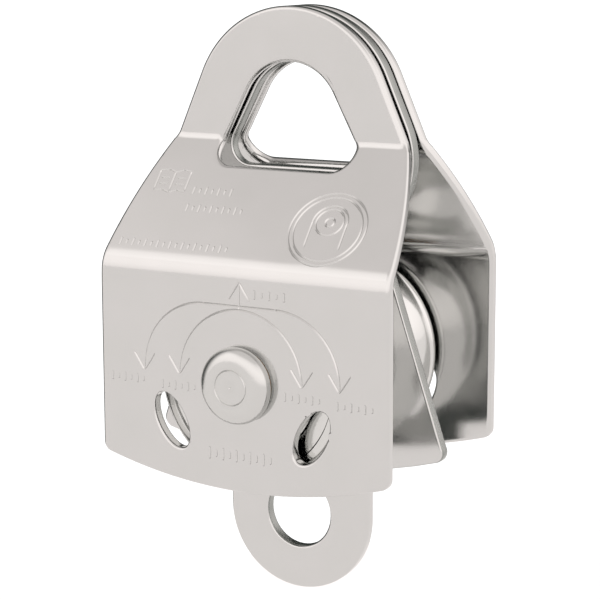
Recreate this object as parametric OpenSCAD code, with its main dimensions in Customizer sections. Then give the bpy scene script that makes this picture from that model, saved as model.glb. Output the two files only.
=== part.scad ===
// Double sheave block with two swinging cheeks.
// X runs across the block, Y along the axle, Z up. The origin is the middle of the anchor eye,
// which the block hangs from. Every module is drawn about the axle and then lowered into place.
// Modules draw the rear half of the block, on the +Y side, and mirror it for the front half.

/* [Plates] */
// Thickness of every plate
plate_t = 3; // [2.5:0.1:3.2]
// Width of a cheek
cheek_w = 75; // [74:0.5:80]
// Depth of the block over the outer faces of its cheeks
block_depth = 56.7; // [54:0.1:60]
// Lowest point of the cheeks, below the axle
foot_drop = 25.2; // [24.5:0.1:28]
// Rise of the curved foot from its middle to its corners
foot_rise = 5.7; // [3:0.1:7]
// Radius of the foot's corners
foot_corner_r = 2.5; // [1.5:0.1:4]
// Angle of the edges of the centre plate's foot from vertical
flare_angle = 18.7; // [15:0.1:20]
// Half the width of the centre plate's foot, level with the axle
flare_half_w = 32.06; // [30:0.01:33]
// Radius of the hollow at the centre plate's waist
waist_r = 8; // [5:0.5:10]

/* [Cheek bends] */
// Angle that the sheet turns through at each bend
bend_angle = 40; // [36:0.5:42]
// Height above the axle where the lower bend starts
bend_start = 23.4; // [23:0.1:25]
// Outer radius of the lower bend
shoulder_bend_r = 8; // [5:0.5:10]
// Radius of the upper bend on its hollow side
neck_bend_r = 2.5; // [1.5:0.1:4]
// Gap between the centre plate and a cheek at the eye
eye_gap = 1.6; // [1:0.1:2]

/* [Anchor eye] */
// Height of the centre of the eye's crown above the axle
crown_height = 58; // [57:0.1:59]
// Outer radius of the crown
crown_r = 25.5; // [25:0.1:26]
// Angle of the eye's straight sides from vertical
eye_angle = 24; // [23:0.5:26]
// Radius of the cheek's outline between its straight side and the eye
shoulder_r = 76; // [70:1:80]
// Radius of the lower corners of the centre plate's eye
eye_base_r = 20; // [17:0.5:21]
// Half the greatest width of the centre plate's eye
eye_base_half_w = 30; // [29:0.1:31]
// Radius at the top of the eye's hole
hole_crown_r = 12.8; // [11:0.1:13]
// Height of the centre of that radius above the axle
hole_crown_height = 58; // [57:0.1:59]
// Height of the bottom of the eye's hole above the axle
hole_base_height = 46.4; // [46:0.1:48]
// Half the width of the eye's hole, at its widest
hole_half_w = 17.6; // [15:0.1:18]
// Radius of the lower corners of the eye's hole
hole_corner_r = 4.5; // [3:0.1:5]

/* [Windows and becket] */
// Width of a cheek window
window_w = 7.6; // [5:0.1:9]
// Length of a cheek window
window_len = 14.3; // [12:0.1:16]
// Distance of a window's middle from the block's centre line
window_x = 18.3; // [17:0.1:20]
// Depth of a window's middle below the axle
window_drop = 10.5; // [9:0.1:12]
// Lean of a window from vertical
window_lean = 27; // [20:1:35]
// Depth of the becket hole below the axle
becket_drop = 36.5; // [36:0.1:40]
// Radius of the becket hole
becket_hole_r = 8.4; // [6:0.1:9]
// Outer radius of the becket
becket_r = 18.7; // [16:0.1:20]

/* [Axle] */
// Radius of the axle pin
axle_r = 6; // [6:0.1:6]
// Radius of the pin's shouldered ends
axle_tip_r = 4; // [3.5:0.05:5]
// Radius of an axle head
head_r = 8.8; // [8.5:0.1:10]
// Height of an axle head
head_h = 4.1; // [2.8:0.1:5]
// Radius of an axle head's rounded edge
head_edge_r = 2.6; // [1:0.1:2.7]
// Depth of the centre mark in each end of the pin
centre_mark_depth = 0.8; // [0.4:0.1:1.2]
// Outer radius of the bush that a cheek swings on
bush_r = 8; // [7:0.1:8.5]
// Radius of the bush's flange
bush_flange_r = 10; // [9:0.1:12]
// Thickness of the bush's flange
bush_flange_t = 1; // [0.6:0.1:1.2]
// Outer radius of the spacers between the bearings and the plates
spacer_r = 8.4; // [7.5:0.1:8.5]

/* [Sheaves] */
// Outer radius of a sheave
sheave_r = 24; // [23:0.1:24.2]
// Width of a sheave
sheave_w = 21; // [19:0.1:21.5]
// Width of the rope groove at the rim
groove_w = 17; // [15:0.1:18]
// Depth of the rope groove
groove_depth = 6.5; // [5:0.1:7]
// Bore of the shoulder that stops the bearing in the sheave
hub_bore_r = 12.6; // [11.5:0.1:13]

/* [Bearings] */
// Outer radius of a ball bearing
bearing_r = 14; // [14:0.1:14]
// Width of a ball bearing
bearing_w = 8; // [8:0.1:8]
// Radius of a ball
ball_r = 2.38; // [2.2:0.01:2.4]
// Radius of the circle that the balls' centres lie on
ball_circle_r = 10; // [10:0.1:10]
// Number of balls in a bearing
ball_count = 8; // [6:1:9]
// Thickness of a shield
shield_t = 0.3; // [0.2:0.05:0.4]
// Thickness of a retaining ring
ring_t = 1; // [0.8:0.1:1.2]
// Opening of a retaining ring
ring_gap = 5; // [4:0.5:8]

/* [Hidden] */
$fn = 96;

arc_step = 3;              // angle between the points of an outline's arcs
seam = 0.001;              // points nearer than this to the centre line are not mirrored
side_play = 0.1;           // gap on each side of a swinging cheek
running_gap = 0.05;        // radial gap of a running fit
cut = 1;                   // how far a cutting shape runs past the face it cuts
tall = 200;                // longer than the whole block
half_w = cheek_w / 2;
cheek_out = block_depth / 2;
cheek_in = cheek_out - plate_t;
centre_face = plate_t / 2;
eye_in = centre_face + eye_gap;
eye_out = eye_in + plate_t;
head_base = cheek_out + side_play;
pin_end = head_base + head_h;
sheave_mid = (centre_face + cheek_in) / 2;
bearing_in = sheave_mid - bearing_w / 2;
bearing_out = sheave_mid + bearing_w / 2;
bush_base = cheek_in - side_play - bush_flange_t;
foot_arc_r = (half_w * half_w + foot_rise * foot_rise) / (2 * foot_rise);
foot_arc_centre = [0, foot_arc_r - foot_drop];
race_r = ball_r + running_gap;
eye_height = (hole_base_height + hole_crown_height + hole_crown_r) / 2;
eye_side_offset = crown_height * sin(eye_angle) + crown_r;
flare_offset = flare_half_w * cos(flare_angle);
shoulder_bend_centre = [cheek_out - shoulder_bend_r, bend_start];
slope_len = (cheek_out - eye_out - (shoulder_bend_r + neck_bend_r) * (1 - cos(bend_angle)))
    / sin(bend_angle);
neck_height = bend_start + (shoulder_bend_r + neck_bend_r) * sin(bend_angle)
    + slope_len * cos(bend_angle);
neck_bend_centre = [eye_out + neck_bend_r, neck_height];

groove_r = (pow(groove_w / 2, 2) + pow(groove_depth, 2)) / (2 * groove_depth);
groove_centre_r = sheave_r - groove_depth + groove_r;
ring_outer_r = bearing_r + 0.6;
ring_inner_r = bearing_r - 1.6;
land_half = ball_circle_r - 8.6;      // from the ball circle to the edge of either race
shield_inset = 0.3;
shield_groove = 0.5;
cage_half_t = 0.7;
cage_half_w = ball_r + 0.5;
cage_play = 0.05;

// Unit vector across an edge that leans by angle a from vertical, and the one down along it
function across(a) = [cos(a), sin(a)];
function along(a) = [sin(a), -cos(a)];

// The lower point at a given reach from c that lies on the line across(a) * point = offset
function on_line(c, reach, a, offset) =
    let (s = offset - c * across(a))
    c + s * across(a) + sqrt(reach * reach - s * s) * along(a);

// Lean of the line that touches the right-hand sides of an upper and a lower circle
function tangent_lean(upper, upper_r, lower, lower_r) =
    let (d = lower - upper)
    atan2(d.y, d.x) + acos((upper_r - lower_r) / norm(d));

// Centre of the circle of radius r that touches the eye's straight side and the upright at x
function beside_eye(x, r) =
    [x - r, (eye_side_offset - r - (x - r) * cos(eye_angle)) / sin(eye_angle)];

// Direction of a vector, as an angle from the X axis
function heading(v) = atan2(v.y, v.x);

// Points along an arc, clockwise from one angle to a smaller one, or the other way round
function arc(centre, r, from, to) =
    let (steps = ceil(abs(to - from) / arc_step))
    [for (i = [0:steps]) let (a = from + (to - from) * i / steps) centre + r * [cos(a), sin(a)]];

// The outline whose right-hand side runs down through these points
module mirrored_outline(points) {
    left = [for (i = [len(points) - 1:-1:0]) if (points[i].x > seam) [-points[i].x, points[i].y]];
    polygon(concat(points, left));
}

// Places a shape drawn about the axle on the rear side, or mirrored on the front side
module placed(front = false) {
    translate([0, 0, -eye_height])
        mirror([0, front ? 1 : 0, 0])
            children();
}

// Turns a shape drawn in the XZ plane into a sheet between two distances along the axle
module sheet(from, to) {
    translate([0, to, 0])
        rotate([90, 0, 0])
            linear_extrude(to - from)
                children();
}

// Turns a section drawn as [radius, distance along the axle] into a round part
module turned() {
    rotate([-90, 0, 0])
        rotate_extrude()
            children();
}

// The section of a ring between two radii and two distances along the axle
module ring_section(inner_r, outer_r, from, to) {
    translate([inner_r, from])
        square([outer_r - inner_r, to - from]);
}

// The right-hand side of the eye's crown, down to where its straight side starts
function crown(height, r, lean) = arc([0, height], r, 90, lean);

// The right-hand side of a plate's curved foot, whose edge leans by angle a, as far in as x
function foot(a, offset, x) =
    let (
        corner = on_line(foot_arc_centre, foot_arc_r - foot_corner_r, a, offset - foot_corner_r),
        turn = heading(corner - foot_arc_centre),
        last = -acos(x / foot_arc_r)
    )
    concat(arc(corner, foot_corner_r, a, turn), arc(foot_arc_centre, foot_arc_r, turn, last));

module cheek_outline() {
    mirrored_outline(concat(
        crown(crown_height, crown_r, eye_angle),
        arc(beside_eye(half_w, shoulder_r), shoulder_r, eye_angle, 0),
        foot(0, half_w, 0)
    ));
}

module centre_outline() {
    base = beside_eye(eye_base_half_w, eye_base_r);
    waist = on_line(base, eye_base_r + waist_r, flare_angle, flare_offset + waist_r);
    mirrored_outline(concat(
        crown(crown_height, crown_r, eye_angle),
        arc(base, eye_base_r, eye_angle, heading(waist - base)),
        arc(waist, waist_r, heading(base - waist), 180 + flare_angle),
        foot(flare_angle, flare_offset, becket_r),
        arc([0, -becket_drop], becket_r, 0, -90)
    ));
}

module eye_hole_outline() {
    crown_centre = [0, hole_crown_height];
    corner = [hole_half_w - hole_corner_r, hole_base_height + hole_corner_r];
    lean = tangent_lean(crown_centre, hole_crown_r, corner, hole_corner_r);
    mirrored_outline(concat(
        crown(hole_crown_height, hole_crown_r, lean),
        arc(corner, hole_corner_r, lean, -90)
    ));
}

module window_outline() {
    straight = window_len - window_w;
    square([window_w, straight], center = true);
    for (end = [-1, 1])
        translate([0, end * straight / 2])
            circle(d = window_w);
}

// One bend of the sheet, from a given angle round its centre
module bend_section(centre, inner_r, from) {
    translate(centre)
        rotate(from)
            intersection() {
                difference() {
                    circle(inner_r + plate_t);
                    circle(inner_r);
                }
                polygon([[0, 0], tall * [1, 0], tall * [cos(bend_angle), sin(bend_angle)]]);
            }
}

// The bent sheet of a cheek seen from its edge: upright, slope, and eye
module cheek_section() {
    translate([cheek_in, bend_start - tall])
        square([plate_t, tall]);
    bend_section(shoulder_bend_centre, shoulder_bend_r - plate_t, 0);
    translate(shoulder_bend_centre)
        rotate(bend_angle)
            translate([shoulder_bend_r - plate_t, 0])
                square([plate_t, slope_len]);
    bend_section(neck_bend_centre, neck_bend_r, 180);
    translate([eye_in, neck_height])
        square([plate_t, tall]);
}

module cheek_plate(front = false) {
    color("gainsboro")
        placed(front)
            difference() {
                intersection() {
                    translate([-half_w, 0, 0])
                        rotate([90, 0, 90])
                            linear_extrude(cheek_w)
                                cheek_section();
                    sheet(0, block_depth)
                        cheek_outline();
                }
                sheet(-cut, block_depth) {
                    eye_hole_outline();
                    circle(bush_r + running_gap);
                    for (side = [-1, 1])
                        translate([side * window_x, -window_drop])
                            rotate(-side * window_lean)
                                window_outline();
                }
            }
}

module centre_plate() {
    color("silver")
        placed()
            difference() {
                sheet(-centre_face, centre_face)
                    centre_outline();
                sheet(-plate_t, plate_t) {
                    eye_hole_outline();
                    circle(axle_r);
                    translate([0, -becket_drop])
                        circle(becket_hole_r);
                }
            }
}

module axle_pin() {
    color("lightgray")
        placed()
            difference() {
                turned() {
                    ring_section(0, axle_r, -head_base, head_base);
                    ring_section(0, axle_tip_r, -pin_end, pin_end);
                }
                for (front = [0, 1])
                    mirror([0, front, 0])
                        translate([0, pin_end - centre_mark_depth, 0])
                            rotate([-90, 0, 0])
                                cylinder(h = centre_mark_depth, r1 = 0, r2 = centre_mark_depth);
            }
}

module axle_head(front = false) {
    color("gainsboro")
        placed(front)
            turned()
                difference() {
                    union() {
                        ring_section(axle_tip_r, head_r - head_edge_r, head_base, pin_end);
                        translate([head_r - head_edge_r, pin_end - head_edge_r])
                            circle(head_edge_r);
                        ring_section(axle_tip_r, head_r, head_base, pin_end - head_edge_r);
                    }
                    ring_section(0, 2 * head_r, 0, head_base);
                    ring_section(0, axle_tip_r, 0, 2 * pin_end);
                }
}

module cheek_bush(front = false) {
    color("darkgoldenrod")
        placed(front)
            turned() {
                ring_section(axle_r, bush_flange_r, bush_base, bush_base + bush_flange_t);
                ring_section(axle_r, bush_r, bush_base, head_base);
            }
}

module outer_spacer(front = false) {
    color("silver")
        placed(front)
            turned()
                ring_section(axle_r, spacer_r, bearing_out, bush_base);
}

module inner_spacer(front = false) {
    color("silver")
        placed(front)
            turned()
                ring_section(axle_r, spacer_r, centre_face, bearing_in);
}

module sheave(front = false) {
    color("whitesmoke")
        placed(front)
            turned()
                difference() {
                    ring_section(hub_bore_r, sheave_r, sheave_mid - sheave_w / 2, sheave_mid + sheave_w / 2);
                    translate([groove_centre_r, sheave_mid])
                        circle(groove_r);
                    ring_section(0, bearing_r, bearing_in, block_depth);
                    ring_section(0, ring_outer_r + running_gap, bearing_out, bearing_out + ring_t);
                }
}

module retaining_ring(front = false) {
    color("dimgray")
        placed(front)
            difference() {
                turned()
                    ring_section(ring_inner_r, ring_outer_r, bearing_out, bearing_out + ring_t);
                translate([-ring_gap / 2, 0, -bearing_r - cut])
                    cube([ring_gap, block_depth, bearing_r]);
            }
}

module bearing_outer_ring(front = false) {
    color("silver")
        placed(front)
            turned()
                difference() {
                    ring_section(ball_circle_r + land_half, bearing_r, bearing_in, bearing_out);
                    race_section();
                    shield_section();
                }
}

module bearing_inner_ring(front = false) {
    color("silver")
        placed(front)
            turned()
                difference() {
                    ring_section(axle_r, ball_circle_r - land_half, bearing_in, bearing_out);
                    race_section();
                }
}

// Section of the space that the balls roll in
module race_section() {
    translate([ball_circle_r, sheave_mid])
        circle(race_r);
}

// Section of the two shields, which stand in grooves in the outer ring
module shield_section() {
    inner_r = ball_circle_r - land_half + shield_inset;
    outer_r = ball_circle_r + land_half + shield_groove;
    ring_section(inner_r, outer_r, bearing_in + shield_inset, bearing_in + shield_inset + shield_t);
    ring_section(inner_r, outer_r, bearing_out - shield_inset - shield_t, bearing_out - shield_inset);
}

module bearing_shields(front = false) {
    color("darkslategray")
        placed(front)
            turned()
                shield_section();
}

// Puts a shape at the place of each ball
module at_each_ball() {
    for (i = [0:ball_count - 1])
        rotate([0, i * 360 / ball_count, 0])
            translate([ball_circle_r, sheave_mid, 0])
                children();
}

module bearing_balls(front = false) {
    color("lightsteelblue")
        placed(front)
            at_each_ball()
                sphere(ball_r);
}

module bearing_cage(front = false) {
    color("darkkhaki")
        placed(front)
            difference() {
                turned()
                    ring_section(ball_circle_r - cage_half_t, ball_circle_r + cage_half_t,
                        sheave_mid - cage_half_w, sheave_mid + cage_half_w);
                at_each_ball()
                    rotate([0, 90, 0])
                        cylinder(h = 2 * ball_r, r = ball_r + cage_play, center = true);
            }
}

centre_plate();
axle_pin();
cheek_plate(front = true);  // front_cheek_plate
cheek_plate();  // rear_cheek_plate
axle_head(front = true);  // front_axle_head
axle_head();  // rear_axle_head
cheek_bush(front = true);  // front_cheek_bush
cheek_bush();  // rear_cheek_bush
outer_spacer(front = true);  // front_outer_spacer
outer_spacer();  // rear_outer_spacer
inner_spacer(front = true);  // front_inner_spacer
inner_spacer();  // rear_inner_spacer
sheave(front = true);  // front_sheave
sheave();  // rear_sheave
retaining_ring(front = true);  // front_retaining_ring
retaining_ring();  // rear_retaining_ring
bearing_outer_ring(front = true);  // front_bearing_outer_ring
bearing_outer_ring();  // rear_bearing_outer_ring
bearing_inner_ring(front = true);  // front_bearing_inner_ring
bearing_inner_ring();  // rear_bearing_inner_ring
bearing_balls(front = true);  // front_bearing_balls
bearing_balls();  // rear_bearing_balls
bearing_cage(front = true);  // front_bearing_cage
bearing_cage();  // rear_bearing_cage
bearing_shields(front = true);  // front_bearing_shields
bearing_shields();  // rear_bearing_shields
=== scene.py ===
"""Looks of a double sheave block with two swinging cheeks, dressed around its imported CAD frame."""
import logging
import math
from collections.abc import Callable, Iterator, Sequence
from contextlib import contextmanager
from dataclasses import dataclass
from enum import Enum

import bmesh
import bpy
from mathutils import Matrix, Vector


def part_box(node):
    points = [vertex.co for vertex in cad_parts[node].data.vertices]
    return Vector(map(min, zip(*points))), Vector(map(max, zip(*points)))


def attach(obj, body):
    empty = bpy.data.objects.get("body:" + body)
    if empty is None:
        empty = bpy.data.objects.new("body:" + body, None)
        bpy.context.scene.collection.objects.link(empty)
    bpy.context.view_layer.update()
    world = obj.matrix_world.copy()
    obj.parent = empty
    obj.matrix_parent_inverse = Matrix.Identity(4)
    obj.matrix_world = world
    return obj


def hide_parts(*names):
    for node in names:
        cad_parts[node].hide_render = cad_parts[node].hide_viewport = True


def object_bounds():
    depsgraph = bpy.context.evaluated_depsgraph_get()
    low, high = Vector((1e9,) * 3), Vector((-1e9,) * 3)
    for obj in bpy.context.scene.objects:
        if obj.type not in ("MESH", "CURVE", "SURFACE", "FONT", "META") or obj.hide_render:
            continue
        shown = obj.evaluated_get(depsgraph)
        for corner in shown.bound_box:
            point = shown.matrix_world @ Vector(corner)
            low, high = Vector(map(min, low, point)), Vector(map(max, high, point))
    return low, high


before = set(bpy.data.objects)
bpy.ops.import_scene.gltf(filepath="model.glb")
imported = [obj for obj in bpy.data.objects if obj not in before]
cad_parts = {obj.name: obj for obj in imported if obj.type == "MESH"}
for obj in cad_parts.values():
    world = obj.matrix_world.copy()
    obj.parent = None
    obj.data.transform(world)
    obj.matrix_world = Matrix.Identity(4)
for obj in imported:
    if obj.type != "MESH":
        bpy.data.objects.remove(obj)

CAD_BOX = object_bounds()
MM = 0.001
FULL_TURN = 2 * math.pi
MERGE_GAP = 0.002 * MM
LOG = logging.getLogger("sheave_block")

Point = tuple[float, float]
Piece = bpy.types.Object


class Side(Enum):
    """The two halves of the block, by the direction of the axle that they lie on."""

    FRONT = -1
    REAR = 1

    def named(self, part: str) -> str:
        """Name of this half's CAD node or body."""
        return f"{self.name.lower()}_{part}"

    def span(self, part: str) -> tuple[float, float]:
        """Distances from the middle plane to the inner and outer faces of a CAD node.

        Args:
            part: the node's name without its side.

        Returns:
            The nearer and the farther distance, in metres.
        """
        low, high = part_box(self.named(part))
        near, far = sorted((low.y * self.value, high.y * self.value))
        return near, far

    def radius(self, part: str) -> float:
        """Outer radius of a round CAD node."""
        low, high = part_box(self.named(part))
        return (high.x - low.x) / 2


def axle_height() -> float:
    """Height of the axle in the frame, in metres."""
    low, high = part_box("axle_pin")
    return (low.z + high.z) / 2


AXLE_Z = axle_height()


# ---------------------------------------------------------------- bench tools


def deselect_all() -> None:
    """Clears the selection, which the import or a new piece leaves behind."""
    for thing in bpy.context.selected_objects:
        thing.select_set(False)


def pick(piece: Piece) -> None:
    """Selects one piece alone and makes it the active one.

    Args:
        piece: the piece.
    """
    deselect_all()
    piece.select_set(True)
    bpy.context.view_layer.objects.active = piece


@contextmanager
def editing(piece: Piece, mode: str = "VERT") -> Iterator[None]:
    """Opens a piece in edit mode with nothing selected, and closes it again.

    Args:
        piece: the piece to edit.
        mode: what is selected, as VERT, EDGE or FACE.
    """
    pick(piece)
    bpy.ops.object.mode_set(mode="EDIT")
    bpy.ops.mesh.select_mode(type=mode)
    bpy.ops.mesh.select_all(action="DESELECT")
    try:
        yield
    finally:
        bpy.ops.object.mode_set(mode="OBJECT")


def new_piece(name: str) -> Piece:
    """Names the piece that a primitive operator has just added.

    Args:
        name: its name and its mesh's.

    Returns:
        The piece.
    """
    piece = bpy.context.active_object
    piece.name = name
    piece.data.name = name
    return piece


def settle(piece: Piece) -> Piece:
    """Puts a piece's place and turn into its mesh, so that its object sits at the origin.

    Args:
        piece: the piece.

    Returns:
        The same piece.
    """
    pick(piece)
    bpy.ops.object.transform_apply(location=True, rotation=True, scale=True)
    return piece


def apply_modifier(piece: Piece, kind: str, **settings: object) -> None:
    """Adds a modifier with its settings and applies it at once.

    Args:
        piece: the piece to change.
        kind: the modifier's type name.
        settings: its properties by name.
    """
    pick(piece)
    modifier = piece.modifiers.new(kind.lower(), kind)
    for key, value in settings.items():
        setattr(modifier, key, value)
    bpy.ops.object.modifier_apply(modifier=modifier.name)


def shade(piece: Piece, degrees: float) -> Piece:
    """Shades a piece smooth except where its faces meet at more than an angle.

    Args:
        piece: the piece.
        degrees: the angle.

    Returns:
        The same piece.
    """
    pick(piece)
    bpy.ops.object.shade_smooth_by_angle(angle=math.radians(degrees))
    return piece


def twin(piece: Piece, name: str) -> Piece:
    """Copies a finished front piece, mesh and all, and turns the copy to the rear of the block.

    Args:
        piece: the front piece.
        name: the copy's name.

    Returns:
        The copy, turned half a turn about the vertical.
    """
    copy = piece.copy()
    copy.data = piece.data.copy()
    copy.name = name
    copy.data.name = name
    bpy.context.collection.objects.link(copy)
    copy.rotation_euler.z = math.pi
    return settle(copy)


def from_cad(node: str, name: str) -> Piece:
    """Copies a CAD node and merges its loose triangles into one clean skin.

    Args:
        node: the CAD node.
        name: the copy's name.

    Returns:
        The copy, with its flat faces whole.
    """
    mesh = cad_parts[node].data.copy()
    mesh.name = name
    mesh.materials.clear()
    piece = bpy.data.objects.new(name, mesh)
    bpy.context.collection.objects.link(piece)
    with editing(piece):
        bpy.ops.mesh.customdata_custom_splitnormals_clear()
        bpy.ops.mesh.select_all(action="SELECT")
        bpy.ops.mesh.remove_doubles(threshold=MERGE_GAP)
        bpy.ops.mesh.dissolve_limited(angle_limit=math.radians(0.5))
    return piece


def round_edges(
    piece: Piece, chosen: Callable[[bmesh.types.BMEdge], bool], radius: float, steps: int
) -> None:
    """Rounds the chosen edges of a piece.

    Args:
        piece: the piece.
        chosen: says whether an edge is rounded.
        radius: how far back from the edge the rounding starts, in metres.
        steps: how many faces it has.
    """
    with editing(piece, "EDGE"):
        mesh = bmesh.from_edit_mesh(piece.data)
        for edge in mesh.edges:
            edge.select_set(chosen(edge))
        bmesh.update_edit_mesh(piece.data)
        bpy.ops.mesh.bevel(offset=radius, segments=steps, affect="EDGES", clamp_overlap=False)


# How nearly a face has to look along the axle to count as one of a sheet's two flats
FLAT = 0.9999


def lead_with_flats(piece: Piece) -> None:
    """Marks the two faces of a flat sheet, so that its rounded edges run smoothly into them.

    Args:
        piece: the sheet.
    """
    with editing(piece, "FACE"):
        mesh = bmesh.from_edit_mesh(piece.data)
        for face in mesh.faces:
            face.select_set(abs(face.normal.y) > FLAT)
        bmesh.update_edit_mesh(piece.data)
        bpy.ops.mesh.mod_weighted_strength(set=True, face_strength="STRONG")


def even_normals(piece: Piece) -> None:
    """Shades a sheet smooth round its rounded edges and bends, with its marked faces kept flat."""
    shade(piece, 30)
    apply_modifier(piece, "WEIGHTED_NORMAL", keep_sharp=True, weight=100, use_face_influence=True)


def is_sharp(edge: bmesh.types.BMEdge) -> bool:
    """Whether an edge is a corner of the sheet, and not one of the facets of an arc or bend."""
    return edge.calc_face_angle() > math.radians(40)


def arc(centre: Point, radius: float, start: float, end: float, steps: int) -> list[Point]:
    """Points along an arc.

    Args:
        centre: the arc's centre.
        radius: its radius.
        start: the first point's angle in degrees.
        end: the last point's angle in degrees.
        steps: how many parts the arc is divided into.

    Returns:
        The points, both ends included.
    """
    points = []
    for i in range(steps + 1):
        angle = math.radians(start + (end - start) * i / steps)
        points.append((centre[0] + radius * math.cos(angle), centre[1] + radius * math.sin(angle)))
    return points


def turned(name: str, profile: Sequence[Point], steps: int) -> Piece:
    """Turns a round piece about the axle, as on a lathe, on the front half of the block.

    Args:
        name: the piece's name.
        profile: points of (radius, distance from the middle plane), in metres. A profile that starts
            and ends on the axle makes a solid, and any other one is closed into a ring.
        steps: how many steps the full turn has.

    Returns:
        The piece, with its faces outward.
    """
    places = [Vector((radius, -distance, AXLE_Z)) for radius, distance in profile]
    if profile[0][0] > 0:
        places.append(places[0])
    deselect_all()
    bpy.ops.mesh.primitive_plane_add(size=MM, location=places[0])
    piece = settle(new_piece(name))
    with editing(piece):
        bpy.ops.mesh.select_all(action="SELECT")
        bpy.ops.mesh.merge(type="CENTER")
        for here, there in zip(places, places[1:]):
            bpy.ops.mesh.extrude_region_move(TRANSFORM_OT_translate={"value": there - here})
        bpy.ops.mesh.select_all(action="SELECT")
        bpy.ops.mesh.spin(steps=steps, angle=FULL_TURN, center=(0, 0, AXLE_Z), axis=(0, 1, 0))
        bpy.ops.mesh.select_all(action="SELECT")
        bpy.ops.mesh.remove_doubles(threshold=MERGE_GAP)
        bpy.ops.mesh.normals_make_consistent(inside=False)
    return piece


# ---------------------------------------------------------------- finishes


def linear(code: str) -> tuple[float, float, float, float]:
    """Turns an sRGB hex colour into linear light.

    Args:
        code: the colour, such as "#CFCAC5".

    Returns:
        Red, green, blue and an alpha of 1.
    """
    channels = []
    for start in (1, 3, 5):
        value = int(code[start:start + 2], 16) / 255
        channels.append(value / 12.92 if value <= 0.04045 else ((value + 0.055) / 1.055) ** 2.4)
    return (*channels, 1.0)


def per_metre(size_mm: float) -> float:
    """Scale of a noise whose features are a given number of millimetres wide."""
    return 1 / (size_mm * MM)


def add_node(
    tree: bpy.types.NodeTree,
    kind: str,
    values: dict[str | int, object] | None = None,
    links: dict[str | int, bpy.types.NodeSocket] | None = None,
    **settings: object,
) -> bpy.types.Node:
    """Adds a node to a tree.

    Args:
        tree: the tree.
        kind: the node's type name.
        values: constants by input socket.
        links: outputs that feed its inputs, by input socket.
        settings: the node's own properties by name.

    Returns:
        The node.
    """
    node = tree.nodes.new(kind)
    for key, value in settings.items():
        setattr(node, key, value)
    for key, value in (values or {}).items():
        node.inputs[key].default_value = value
    for key, output in (links or {}).items():
        tree.links.new(output, node.inputs[key])
    return node


@dataclass(frozen=True)
class SteelFinish:
    """Bare metal as it leaves the mill, the tumbler or the lathe.

    A slow cloud moves its colour and gloss, a fine grain breaks up its reflections, and a gentle
    waviness bends them, as pressing and tumbling leave a sheet.
    """

    name: str
    pale: str
    deep: str
    roughness: float
    roughness_swing: float
    cloud_mm: float
    grain_mm: float
    grain_depth_mm: float
    wave_mm: float
    wave_depth_mm: float
    lathe_turned: bool = False

    def place(self, tree: bpy.types.NodeTree) -> bpy.types.NodeSocket:
        """Adds the coordinates that the patterns follow.

        Args:
            tree: the material's node tree.

        Returns:
            The piece's own coordinates about the axle, or for a turned piece its radius and its
            place along the axle, so that the patterns run round it as tool marks do.
        """
        own = add_node(tree, "ShaderNodeTexCoord").outputs["Object"]
        centred = add_node(tree, "ShaderNodeMapping", {"Location": (0, 0, -AXLE_Z)}, {"Vector": own})
        if not self.lathe_turned:
            return centred.outputs["Vector"]
        split = add_node(tree, "ShaderNodeSeparateXYZ", links={"Vector": centred.outputs["Vector"]})
        flat = add_node(
            tree, "ShaderNodeCombineXYZ", links={"X": split.outputs["X"], "Z": split.outputs["Z"]}
        )
        radius = add_node(
            tree, "ShaderNodeVectorMath", links={0: flat.outputs["Vector"]}, operation="LENGTH"
        )
        return add_node(
            tree, "ShaderNodeCombineXYZ", links={"X": radius.outputs["Value"], "Y": split.outputs["Y"]}
        ).outputs["Vector"]

    def material(self) -> bpy.types.Material:
        """Builds the material.

        Returns:
            The material, made once and then found again by its name.
        """
        if self.name in bpy.data.materials:
            return bpy.data.materials[self.name]
        made = bpy.data.materials.new(self.name)
        made.use_nodes = True
        tree = made.node_tree
        tree.nodes.clear()
        place = self.place(tree)
        cloud = add_node(tree, "ShaderNodeTexNoise", {"Scale": per_metre(self.cloud_mm), "Detail": 3.0},
                         {"Vector": place})
        grain = add_node(tree, "ShaderNodeTexNoise", {"Scale": per_metre(self.grain_mm), "Detail": 4.0},
                         {"Vector": place})
        wave = add_node(tree, "ShaderNodeTexNoise", {"Scale": per_metre(self.wave_mm), "Detail": 0.0},
                        {"Vector": place})
        tint = add_node(tree, "ShaderNodeMix", {"A": linear(self.deep), "B": linear(self.pale)},
                        {"Factor": cloud.outputs["Fac"]}, data_type="RGBA")
        mixed = add_node(tree, "ShaderNodeMath", {1: 0.5}, {0: cloud.outputs["Fac"], 2: grain.outputs["Fac"]},
                         operation="MULTIPLY_ADD")
        gloss = add_node(
            tree, "ShaderNodeMapRange",
            {"From Min": 0.45, "From Max": 1.05, "To Min": self.roughness - self.roughness_swing,
             "To Max": self.roughness + self.roughness_swing},
            {"Value": mixed.outputs["Value"]},
        )
        swell = add_node(tree, "ShaderNodeBump", {"Strength": 1.0, "Distance": self.wave_depth_mm * MM},
                         {"Height": wave.outputs["Fac"]})
        tooth = add_node(tree, "ShaderNodeBump", {"Strength": 1.0, "Distance": self.grain_depth_mm * MM},
                         {"Height": grain.outputs["Fac"], "Normal": swell.outputs["Normal"]})
        surface = add_node(
            tree, "ShaderNodeBsdfPrincipled", {"Metallic": 1.0},
            {"Base Color": tint.outputs["Result"], "Roughness": gloss.outputs["Result"],
             "Normal": tooth.outputs["Normal"]},
        )
        add_node(tree, "ShaderNodeOutputMaterial", links={"Surface": surface.outputs["BSDF"]})
        return made

    def dress(self, *pieces: Piece) -> None:
        """Gives this finish to pieces, in place of what they had."""
        for piece in pieces:
            if piece.material_slots:
                piece.material_slots[0].material = self.material()
            else:
                piece.data.materials.append(self.material())

    def dress_nodes(self, *nodes: str) -> None:
        """Gives this finish to CAD nodes that stay as they are."""
        self.dress(*(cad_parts[node] for node in nodes))


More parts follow.
